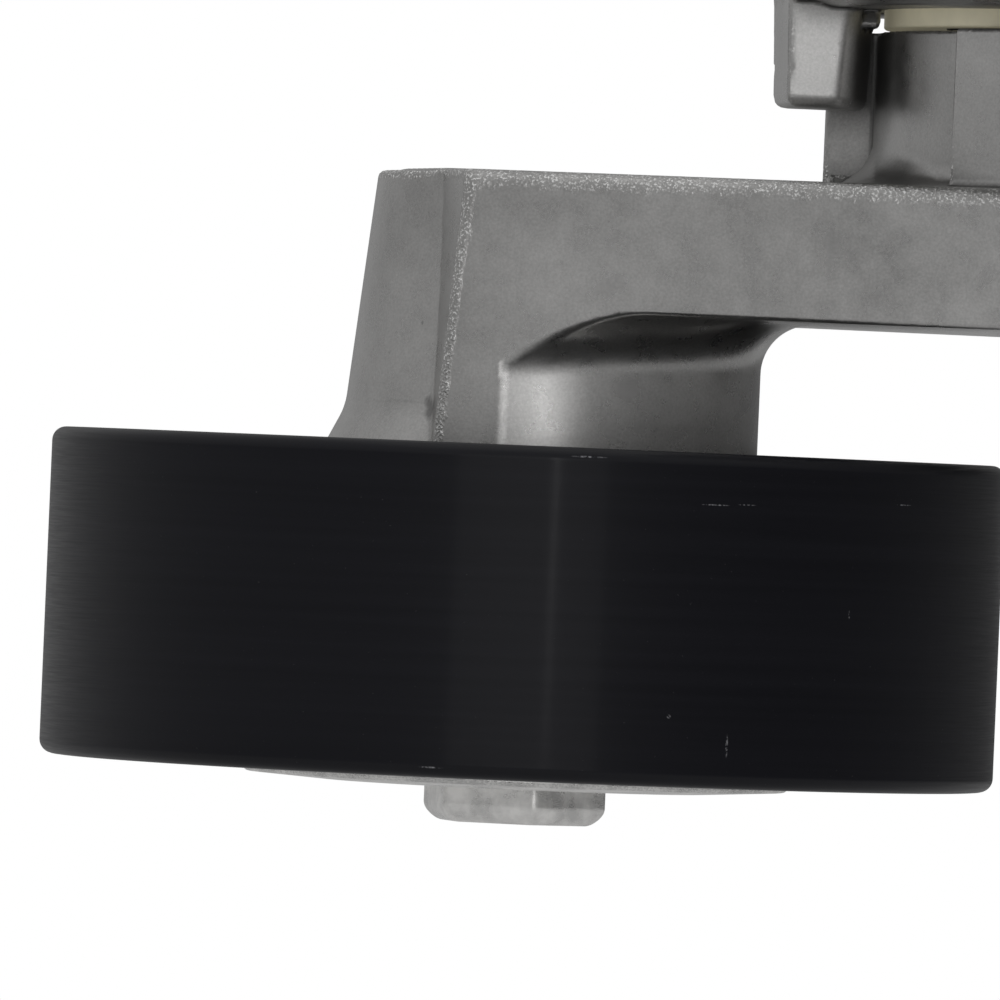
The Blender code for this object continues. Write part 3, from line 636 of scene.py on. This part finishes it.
def spread(tree, value, low, high, to_low=0.0, to_high=1.0):
    """Maps a range of values to another, and holds it at the ends."""
    return put(tree, "MapRange", {"Value": value, "From Min": low, "From Max": high,
                                  "To Min": to_low, "To Max": to_high}).outputs["Result"]


def noise(tree, where, size, detail=2.0, rough=0.5):
    """Noise with features of about this many millimetres."""
    return put(tree, "TexNoise", {"Vector": where, "Scale": 1 / (size * MM), "Detail": detail,
                                  "Roughness": rough}).outputs["Fac"]


def blend(tree, share, first, second, how="MIX"):
    return put(tree, "Mix", {0: share, 6: first, 7: second}, data_type="RGBA",
               blend_type=how).outputs[2]


def grey(tree, value):
    return put(tree, "CombineColor", {0: value, 1: value, 2: value}).outputs[0]


def new_material(name, colour, roughness, metallic):
    made = bpy.data.materials.new(name)
    made.use_nodes = True
    tree = made.node_tree
    shader = tree.nodes["Principled BSDF"]
    shader.inputs["Base Color"].default_value = (*colour, 1)
    shader.inputs["Roughness"].default_value = roughness
    shader.inputs["Metallic"].default_value = metallic
    where = put(tree, "TexCoord").outputs["Object"]
    return made, tree, shader, where


def bump(tree, shader, *layers):
    """Stacks height layers of (height, depth in millimetres) into the shader's normal."""
    below = None
    for height, depth in layers:
        inputs = {"Height": height, "Distance": depth * MM, "Strength": 1.0}
        if below is not None:
            inputs["Normal"] = below
        below = put(tree, "Bump", inputs).outputs["Normal"]
    tree.links.new(below, shader.inputs["Normal"])


def around(tree, where, centre_x, centre_y, stretch):
    """Coordinates for marks that run round an axis: radius, stretched angle and height."""
    parts = put(tree, "SeparateXYZ", {0: where}).outputs
    x = math_node(tree, "SUBTRACT", parts[0], centre_x * MM)
    y = math_node(tree, "SUBTRACT", parts[1], centre_y * MM)
    squares = math_node(tree, "ADD", math_node(tree, "MULTIPLY", x, x),
                        math_node(tree, "MULTIPLY", y, y))
    radius = math_node(tree, "SQRT", squares)
    angle = math_node(tree, "MULTIPLY", math_node(tree, "ARCTAN2", y, x), stretch * MM)
    return put(tree, "CombineXYZ", {0: radius, 1: angle, 2: parts[2]}).outputs[0]


def cast_aluminium():
    """Die-cast and tumbled: mottled grey skin, fine pits, and edges worn to a sparkle. Its colour
    is also darkened as painted shade in sheltered crevices and concave creases.
    """
    made, tree, shader, where = new_material("cast_aluminium", (0.48, 0.48, 0.47), 0.28, 0.9)
    edge = put(tree, "Attribute", attribute_name="edge").outputs["Fac"]
    hidden = put(tree, "Attribute", attribute_name="shelter").outputs["Fac"]
    patches = noise(tree, where, 13, 2, 0.4)
    mottle = noise(tree, where, 2.2, 3, 0.55)
    grain = noise(tree, where, 0.2, 3, 0.6)
    speck = noise(tree, where, 0.2)
    tone = math_node(tree, "ADD", spread(tree, patches, *NOISE_SPAN, 0.4, 0.505),
                     spread(tree, mottle, *NOISE_SPAN, -0.03, 0.03))
    tone = math_node(tree, "ADD", tone, spread(tree, grain, *NOISE_SPAN, -0.05, 0.05))
    # Painted shade: the colour darkens where the castings shelter a point, in crevices, recesses
    # and under the beam.
    tone = math_node(tree, "MULTIPLY", tone, spread(tree, hidden, 0.3, 0.95, 1.0, 0.62))
    # Painted shade: the colour darkens in concave creases, where the edge attribute is negative.
    tone = math_node(tree, "MULTIPLY", tone, spread(tree, edge, -1.8, -1.0, 0.5, 1.0))
    holes = spread(tree, noise(tree, where, 0.6), 0.25, 0.3, 1, 0)
    pit = math_node(tree, "MULTIPLY", holes, spread(tree, noise(tree, where, 7), 0.6, 0.68))
    pit = math_node(tree, "MULTIPLY", pit, spread(tree, hidden, 0.05, 0.2, 1, 0))
    rags = spread(tree, noise(tree, where, 0.9, 3, 0.6), *NOISE_SPAN, -0.3, 0.3)
    worn = spread(tree, math_node(tree, "ADD", edge, rags), 0.3, 0.9)
    sparkle = math_node(tree, "MULTIPLY", worn, spread(tree, speck, 0.55, 0.62))
    warm = blend(tree, 1.0, grey(tree, tone), (1.0, 0.99, 0.975, 1), "MULTIPLY")
    colour = blend(tree, sparkle, warm, (0.95, 0.95, 0.94, 1))
    colour = blend(tree, math_node(tree, "MULTIPLY", pit, 0.5), colour, (0.15, 0.15, 0.15, 1))
    tree.links.new(colour, shader.inputs["Base Color"])
    rough = spread(tree, mottle, *NOISE_SPAN, 0.25, 0.33)
    rough = math_node(tree, "ADD", rough, math_node(tree, "MULTIPLY", worn, 0.12))
    rough = math_node(tree, "ADD", rough, spread(tree, hidden, 0.1, 0.5, 0, 0.15))
    tree.links.new(rough, shader.inputs["Roughness"])
    flecks = math_node(tree, "MULTIPLY", worn, speck)
    bump(tree, shader, (patches, 0.12), (mottle, 0.02), (grain, 0.006), (pit, -0.008),
         (flecks, 0.09))
    return made


def scratch(tree, where, x, z, length, width):
    """A short broken mark on the pulley's front, x and z from its middle in millimetres."""
    middle = Vector((PULLEY_X + x, -math.sqrt(PULLEY_RADIUS ** 2 - x * x), PULLEY_Z + z)) * MM
    size = Vector((length, SCRATCH_DEPTH, width)) * MM / 2
    away = put(tree, "VectorMath", {0: where, 1: middle}, operation="SUBTRACT").outputs[0]
    away = put(tree, "VectorMath", {0: away, 1: size}, operation="DIVIDE").outputs[0]
    away = put(tree, "VectorMath", {0: away}, operation="LENGTH").outputs["Value"]
    broken = spread(tree, noise(tree, where, 0.25), 0.42, 0.6, 0, 0.8)
    return math_node(tree, "MULTIPLY", spread(tree, away, 0.6, 1.0, 1, 0), broken)


def black_coat():
    """Satin black over fine turning marks that run round the pulley."""
    made, tree, shader, where = new_material("black_coat", (0.004, 0.004, 0.006), 0.38, 0.0)
    shader.inputs["Specular IOR Level"].default_value = 0.13
    shader.inputs["Coat Weight"].default_value = 0.1
    shader.inputs["Coat Roughness"].default_value = 0.11
    marks_at = around(tree, where, PULLEY_X, 0, 0.6)
    marks = noise(tree, marks_at, 0.12, 3, 0.7)
    bands = noise(tree, marks_at, 0.9)
    dust = noise(tree, where, 0.2)
    edge = put(tree, "Attribute", attribute_name="edge").outputs["Fac"]
    colour = blend(tree, spread(tree, bands, *NOISE_SPAN), (0.0044, 0.0046, 0.0075, 1),
                   (0.0068, 0.007, 0.0105, 1))
    colour = blend(tree, spread(tree, edge, 0.3, 1.2, 0, 0.06), colour, (0.12, 0.12, 0.12, 1))
    for x, z, length, width in SCRATCHES:
        colour = blend(tree, scratch(tree, where, x, z, length, width), colour, (0.3, 0.3, 0.32, 1))
    colour = blend(tree, spread(tree, dust, 0.74, 0.8, 0, 0.2), colour, (0.2, 0.2, 0.2, 1))
    tree.links.new(colour, shader.inputs["Base Color"])
    tree.links.new(spread(tree, marks, *NOISE_SPAN, 0.33, 0.45), shader.inputs["Roughness"])
    bump(tree, shader, (marks, 0.003), (bands, 0.002))
    return made


def turned_metal(name, colour, roughness, centre_x):
    """Machined metal with marks round its axis."""
    made, tree, shader, where = new_material(name, colour, roughness, 1.0)
    marks = noise(tree, around(tree, where, centre_x, 0, 0.4), 0.1, 3, 0.7)
    stain = noise(tree, where, 4, 3, 0.5)
    dark = tuple(0.82 * c for c in colour)
    tree.links.new(blend(tree, spread(tree, stain, 0.35, 0.65), (*dark, 1), (*colour, 1)),
                   shader.inputs["Base Color"])
    tree.links.new(spread(tree, marks, *NOISE_SPAN, roughness - 0.06, roughness + 0.08),
                   shader.inputs["Roughness"])
    bump(tree, shader, (marks, 0.003))
    return made


def zinc_plate():
    """Pale zinc plating with a fine crystalline grain and darker rubbed edges."""
    made, tree, shader, where = new_material("zinc_plate", (0.8, 0.79, 0.78), 0.4, 1.0)
    edge = put(tree, "Attribute", attribute_name="edge").outputs["Fac"]
    cloud = noise(tree, where, 2.2, 4, 0.6)
    grain = noise(tree, where, 0.14)
    colour = blend(tree, spread(tree, cloud, 0.35, 0.65), (0.64, 0.635, 0.625, 1),
                   (0.95, 0.94, 0.92, 1))
    rubbed = math_node(tree, "MULTIPLY", spread(tree, edge, 0.3, 0.9),
                       spread(tree, noise(tree, where, 0.18, 3, 0.6), 0.45, 0.6))
    colour = blend(tree, math_node(tree, "MULTIPLY", rubbed, 0.4), colour, (0.4, 0.4, 0.4, 1))
    tree.links.new(spread(tree, cloud, *NOISE_SPAN, 0.24, 0.34), shader.inputs["Roughness"])
    tree.links.new(colour, shader.inputs["Base Color"])
    bump(tree, shader, (grain, 0.012), (cloud, 0.04), (rubbed, -0.02))
    return made


def moulded(name, colour, roughness, grain_size, depth, glow=0.0):
    """Moulded plastic or rubber: slight clouding and a fine satin grain. A little glow is painted
    light, which makes the piece brighter than the lamps alone do."""
    made, tree, shader, where = new_material(name, colour, roughness, 0.0)
    # Painted light: the glow gives off the piece's own colour.
    shader.inputs["Emission Color"].default_value = (*colour, 1)
    shader.inputs["Emission Strength"].default_value = glow
    cloud = noise(tree, where, 3, 3, 0.5)
    grain = noise(tree, where, grain_size)
    dark = tuple(0.85 * c for c in colour)
    tree.links.new(blend(tree, spread(tree, cloud, *NOISE_SPAN), (*dark, 1), (*colour, 1)),
                   shader.inputs["Base Color"])
    tree.links.new(spread(tree, grain, *NOISE_SPAN, roughness - 0.05, roughness + 0.05),
                   shader.inputs["Roughness"])
    bump(tree, shader, (grain, depth))
    return made


MATERIALS = {
    "cast_aluminium": cast_aluminium(),
    "machined_steel": turned_metal("machined_steel", (0.55, 0.55, 0.56), 0.25, PULLEY_X),
    "spring_steel": turned_metal("spring_steel", (0.17, 0.17, 0.19), 0.42, 0),
    "bronze": turned_metal("bronze", (0.45, 0.27, 0.12), 0.4, 0),
    "zinc_plate": zinc_plate(),
    "black_coat": black_coat(),
    # The cream nylon's glow of 0.1 is painted light.
    "cream_nylon": moulded("cream_nylon", (0.9, 0.84, 0.62), 0.48, 0.3, 0.004, 0.1),
    "seal_rubber": moulded("seal_rubber", (0.03, 0.025, 0.025), 0.7, 0.2, 0.006),
    "black_plastic": moulded("black_plastic", (0.02, 0.02, 0.02), 0.5, 0.25, 0.006),
}


# ---------------------------------------------------------------- pieces

SLOT_OF = {part["node"]: part["material_slot"] for part in frame["record"]["subparts"]}
BODY_OF = {}
for body, members in frame["record"]["behaviour"]["bodies"].items():
    for node in members:
        BODY_OF[node] = body


def stand_for(piece, node, twists=False):
    """Gives a finished piece its CAD node's material, slot and body, and hides the node. One that
    twists is given no body: its transform is baked into its mesh instead."""
    slot = SLOT_OF[node]
    piece.data.materials.append(MATERIALS[slot])
    if twists:
        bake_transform(piece)
    else:
        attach(piece, BODY_OF[node])
    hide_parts(node)
    return piece


def castings():
    for node, field, grid, wear_share in (("arm_casting", arm_field, ARM_GRID, arm_wear),
                                          ("base_housing", base_field, BASE_GRID, even_wear),
                                          ("pulley_bolt", bolt_field, BOLT_GRID, even_wear)):
        low, high = box_mm(node)
        stand_for(field_mesh(node + "_skin", field, low, high, grid, wear_share), node)


# The pulley's rim, its web and the sleeve that the bearing sits in, from its middle plane
PULLEY_WALL = 3
SLEEVE_OUTER, SLEEVE_BORE = 23.2, 20.3
WEB_Z = (-9.5, -6.5)
SLEEVE_Z = (-11.3, 6.0)


def pulley():
    """Each corner of the outline is its radius, its height and its rounding."""
    half, radius = PULLEY_HALF_WIDTH, PULLEY_RADIUS
    inside, seat, bore = radius - PULLEY_WALL, SLEEVE_OUTER, SLEEVE_BORE
    (web_low, web_high), (seat_low, seat_high) = WEB_Z, SLEEVE_Z
    corners = [
        (inside, half, 0.7), (radius, half, 1.1), (radius, -half, 1.1), (inside, -half, 0.7),
        (inside, web_low, 1.2), (seat, web_low, 1.0), (seat, seat_low, 0.4), (bore, seat_low, 0.3),
        (bore, seat_high, 0.3), (seat, seat_high, 0.4), (seat, web_high, 2.0),
        (inside, web_high, 2.0)]
    corners = [(r, z + PULLEY_Z, rounding) for r, z, rounding in corners]
    stand_for(turned("pulley_shell_skin", corners, PULLEY_X, segments=288, steps=8), "pulley_shell")


# The dust shields: how deep the outer one is dished, the sheet's thickness, and the inner bore
SHIELD_DISH = 1.8
SHIELD_SHEET = 1
INNER_SHIELD_BORE = 12.3


def plates():
    low, high = box_mm("dust_shield")
    rim, floor = high.x - PULLEY_X, low.z
    seat = floor + SHIELD_DISH
    corners = [
        (BOLT_HOLE_RADIUS, seat + SHIELD_SHEET, 0.15), (12.5, seat + SHIELD_SHEET, 1.5),
        (14.5, floor + SHIELD_SHEET, 1.2),
        (rim, floor + 1.2, 0.38), (rim, floor + 0.4, 0.38), (15.5, floor, 3), (14.3, floor, 0.8),
        (12.3, seat, 1.2), (BOLT_HOLE_RADIUS, seat, 0.15)]
    stand_for(turned("dust_shield_skin", corners, PULLEY_X, segments=192), "dust_shield")
    low, high = box_mm("inner_dust_shield")
    rim = high.x - PULLEY_X
    corners = [(INNER_SHIELD_BORE, high.z, 0.2), (rim, high.z, 0.45), (rim, low.z, 0.45),
               (INNER_SHIELD_BORE, low.z, 0.2)]
    stand_for(turned("inner_dust_shield_skin", corners, PULLEY_X, segments=160),
              "inner_dust_shield")


RING_INNER, RING_OUTER = 25.3, 28.2
RING_SINK = 0.05  # how far the ring is set in the hub's top
RING_SPLIT = 6  # degrees
PIN_RADIUS = 3


def ring_pin_and_cap():
    low, high = box_mm("damping_ring")
    bottom = low.z - RING_SINK
    corners = [(RING_INNER, high.z, 0.4), (RING_OUTER, high.z, 0.4), (RING_OUTER, bottom, 0.22),
               (RING_INNER, bottom, 0.4)]
    stand_for(turned("damping_ring_skin", corners, segments=180, start=RING_SPLIT / 2,
                     sweep=360 - RING_SPLIT), "damping_ring")
    low, high = box_mm("locating_pin")
    corners = [(0, high.z, 0), (PIN_RADIUS, high.z, 0.9), (PIN_RADIUS, low.z, 0.3),
               (0, low.z, 0)]
    stand_for(turned("locating_pin_skin", corners, 0, PIN_DISTANCE, segments=64), "locating_pin")
    low, high = box_mm("pivot_cap")
    radius = high.x
    corners = [(0, high.z, 0), (radius, high.z, 0.1), (radius, low.z, 0.5), (9.5, low.z, 0.3),
               (9.0, low.z + 0.3, 0.3), (0, low.z + 0.3, 0)]
    stand_for(turned("pivot_cap_skin", corners, segments=128), "pivot_cap")


def spring():
    """Round wire on a helix, both ends cut square."""
    last = SPRING_STEPS
    rows = np.concatenate(([0, 0], np.arange(last + 1), [last, last]))
    turn = 2 * math.pi * SPRING_TURNS * rows / last
    cosine, sine, none = np.cos(turn), np.sin(turn), np.zeros(len(rows))
    height = SPRING_TOP + (SPRING_BOTTOM - SPRING_TOP) * rows / last
    climb = (SPRING_TOP - SPRING_BOTTOM) / (SPRING_TURNS * 2 * math.pi * SPRING_RADIUS)
    lean = math.atan(climb)
    outward = np.stack([cosine, sine, none], axis=1)
    across = np.stack([-sine * math.sin(lean), cosine * math.sin(lean),
                       none + math.cos(lean)], axis=1)
    onward = np.cross(across, outward)

    sides = 2 * math.pi * np.arange(SPRING_SIDES) / SPRING_SIDES
    spokes = (np.cos(sides)[None, :, None] * outward[:, None]
              + np.sin(sides)[None, :, None] * across[:, None])
    reach = np.full(len(rows), SPRING_WIRE_RADIUS)
    reach[[0, -1]] = 0
    centre = SPRING_RADIUS * outward + np.stack([none, none, height], axis=1)
    points = centre[:, None] + reach[:, None, None] * spokes
    normals = spokes.copy()
    normals[:2] = -onward[:2, None]
    normals[-2:] = onward[-2:, None]

    row, side = np.meshgrid(np.arange(len(rows) - 1), np.arange(SPRING_SIDES), indexing="ij")
    after = (side + 1) % SPRING_SIDES
    faces = np.stack([row * SPRING_SIDES + side, (row + 1) * SPRING_SIDES + side,
                      (row + 1) * SPRING_SIDES + after, row * SPRING_SIDES + after], axis=2)
    faces = np.delete(faces, (1, len(rows) - 3), axis=0).reshape(-1, 4)
    normals = normals.reshape(-1, 3)
    piece = mesh_object("torsion_spring_skin", points.reshape(-1, 3), faces,
                        normals[faces.ravel()], np.zeros(len(normals)))
    stand_for(piece, "torsion_spring", twists=True)


castings()
pulley()
plates()
ring_pin_and_cap()
spring()
REPLACED = {"arm_casting", "base_housing", "pulley_bolt", "pulley_shell", "dust_shield",
            "inner_dust_shield", "damping_ring", "locating_pin", "pivot_cap", "torsion_spring"}
for node, piece in frame["nodes"].items():
    if node not in REPLACED:
        piece.data.materials.clear()
        piece.data.materials.append(MATERIALS[SLOT_OF[node]])


# ---------------------------------------------------------------- studio

# The camera's place in metres, its pitch and roll in degrees and its lens in millimetres
CAMERA_AT = Vector((-0.05716, -1.25, -0.064))
CAMERA_PITCH = -0.1096
CAMERA_ROLL = 2.45
CAMERA_LENS = 564.8
LIGHT_DISTANCE = 2.2
WATTS_FOR_RADIANCE = 4
# Name, azimuth, elevation, width, height and radiance of each light
LIGHTS = (("key", 1, 0, 1.4, 1.8, 0.53), ("strip", 6.6, 12, 0.035, 1.0, 6.0),
          ("top", 0, 85, 1.6, 1.6, 0.3))
# How bright the room is to the left and right, and overhead
WORLD_LEFT_RIGHT = (0.42, 0.14)
WORLD_TOP = 0.55
FLOOR_GLOW = 0.4
FLOOR_Z = -0.30
FLOOR_RADIUS = 2.6
FLOOR_SIDES = 96


def camera():
    data = bpy.data.cameras.new("camera")
    data.lens = CAMERA_LENS
    data.sensor_width = 36
    data.clip_start = 0.05
    data.clip_end = 20
    eye = bpy.data.objects.new("camera", data)
    bpy.context.scene.collection.objects.link(eye)
    eye.matrix_world = (Matrix.Translation(CAMERA_AT)
                        @ Matrix.Rotation(math.radians(90 + CAMERA_PITCH), 4, "X")
                        @ Matrix.Rotation(math.radians(CAMERA_ROLL), 4, "Z"))
    bpy.context.scene.camera = eye


def softbox(name, azimuth, elevation, width, height, radiance):
    """A rectangular light that faces the pulley. Azimuth 0 is on the camera's side."""
    data = bpy.data.lights.new(name, "AREA")
    data.shape = "RECTANGLE"
    data.size, data.size_y = width, height
    data.energy = radiance * WATTS_FOR_RADIANCE * width * height
    light = bpy.data.objects.new(name, data)
    bpy.context.scene.collection.objects.link(light)
    target = Vector((PULLEY_X, 0, PULLEY_Z)) * MM
    side, up = math.radians(azimuth), math.radians(elevation)
    back = Vector((math.sin(side) * math.cos(up), -math.cos(side) * math.cos(up), math.sin(up)))
    light.location = target + back * LIGHT_DISTANCE
    light.rotation_euler = back.to_track_quat("Z", "Y").to_euler()
    light.visible_camera = False


def world():
    """A soft room, lighter on the left, that the camera sees as white."""
    made = bpy.data.worlds.new("studio")
    made.use_nodes = True
    tree = made.node_tree
    background = tree.nodes["Background"]
    away = put(tree, "SeparateXYZ", {0: put(tree, "TexCoord").outputs["Generated"]}).outputs
    behind = math_node(tree, "MAXIMUM", away[1], 0)
    right = math_node(tree, "MULTIPLY_ADD", behind, 0.6, away[0])
    sides = grey(tree, spread(tree, right, 0.05, 0.98, *WORLD_LEFT_RIGHT))
    shade = blend(tree, spread(tree, away[2], 0.3, 0.8), sides, (WORLD_TOP,) * 3 + (1,))
    seen = put(tree, "LightPath").outputs["Is Camera Ray"]
    tree.links.new(blend(tree, seen, shade, (1, 1, 1, 1)), background.inputs["Color"])
    bpy.context.scene.world = made


def floor():
    mesh = bpy.data.meshes.new("floor")
    leads = [2 * math.pi * i / FLOOR_SIDES for i in range(FLOOR_SIDES)]
    mesh.from_pydata([(FLOOR_RADIUS * math.cos(a), FLOOR_RADIUS * math.sin(a), FLOOR_Z)
                      for a in leads], [], [list(range(FLOOR_SIDES))])
    piece = bpy.data.objects.new("floor", mesh)
    bpy.context.scene.collection.objects.link(piece)
    made, tree, shader, where = new_material("floor", (0.82, 0.82, 0.82), 0.8, 0.0)
    cloud = noise(tree, where, 400)
    tree.links.new(blend(tree, spread(tree, cloud, *NOISE_SPAN), (0.8, 0.8, 0.8, 1),
                         (0.84, 0.84, 0.84, 1)), shader.inputs["Base Color"])
    shader.inputs["Emission Color"].default_value = (1, 1, 1, 1)
    seen = put(tree, "LightPath").outputs["Is Camera Ray"]
    glow = math_node(tree, "MULTIPLY", seen, FLOOR_GLOW)
    tree.links.new(glow, shader.inputs["Emission Strength"])
    mesh.materials.append(made)


camera()
world()
floor()
for light in LIGHTS:
    softbox(*light)
bpy.context.scene.view_settings.view_transform = "Standard"
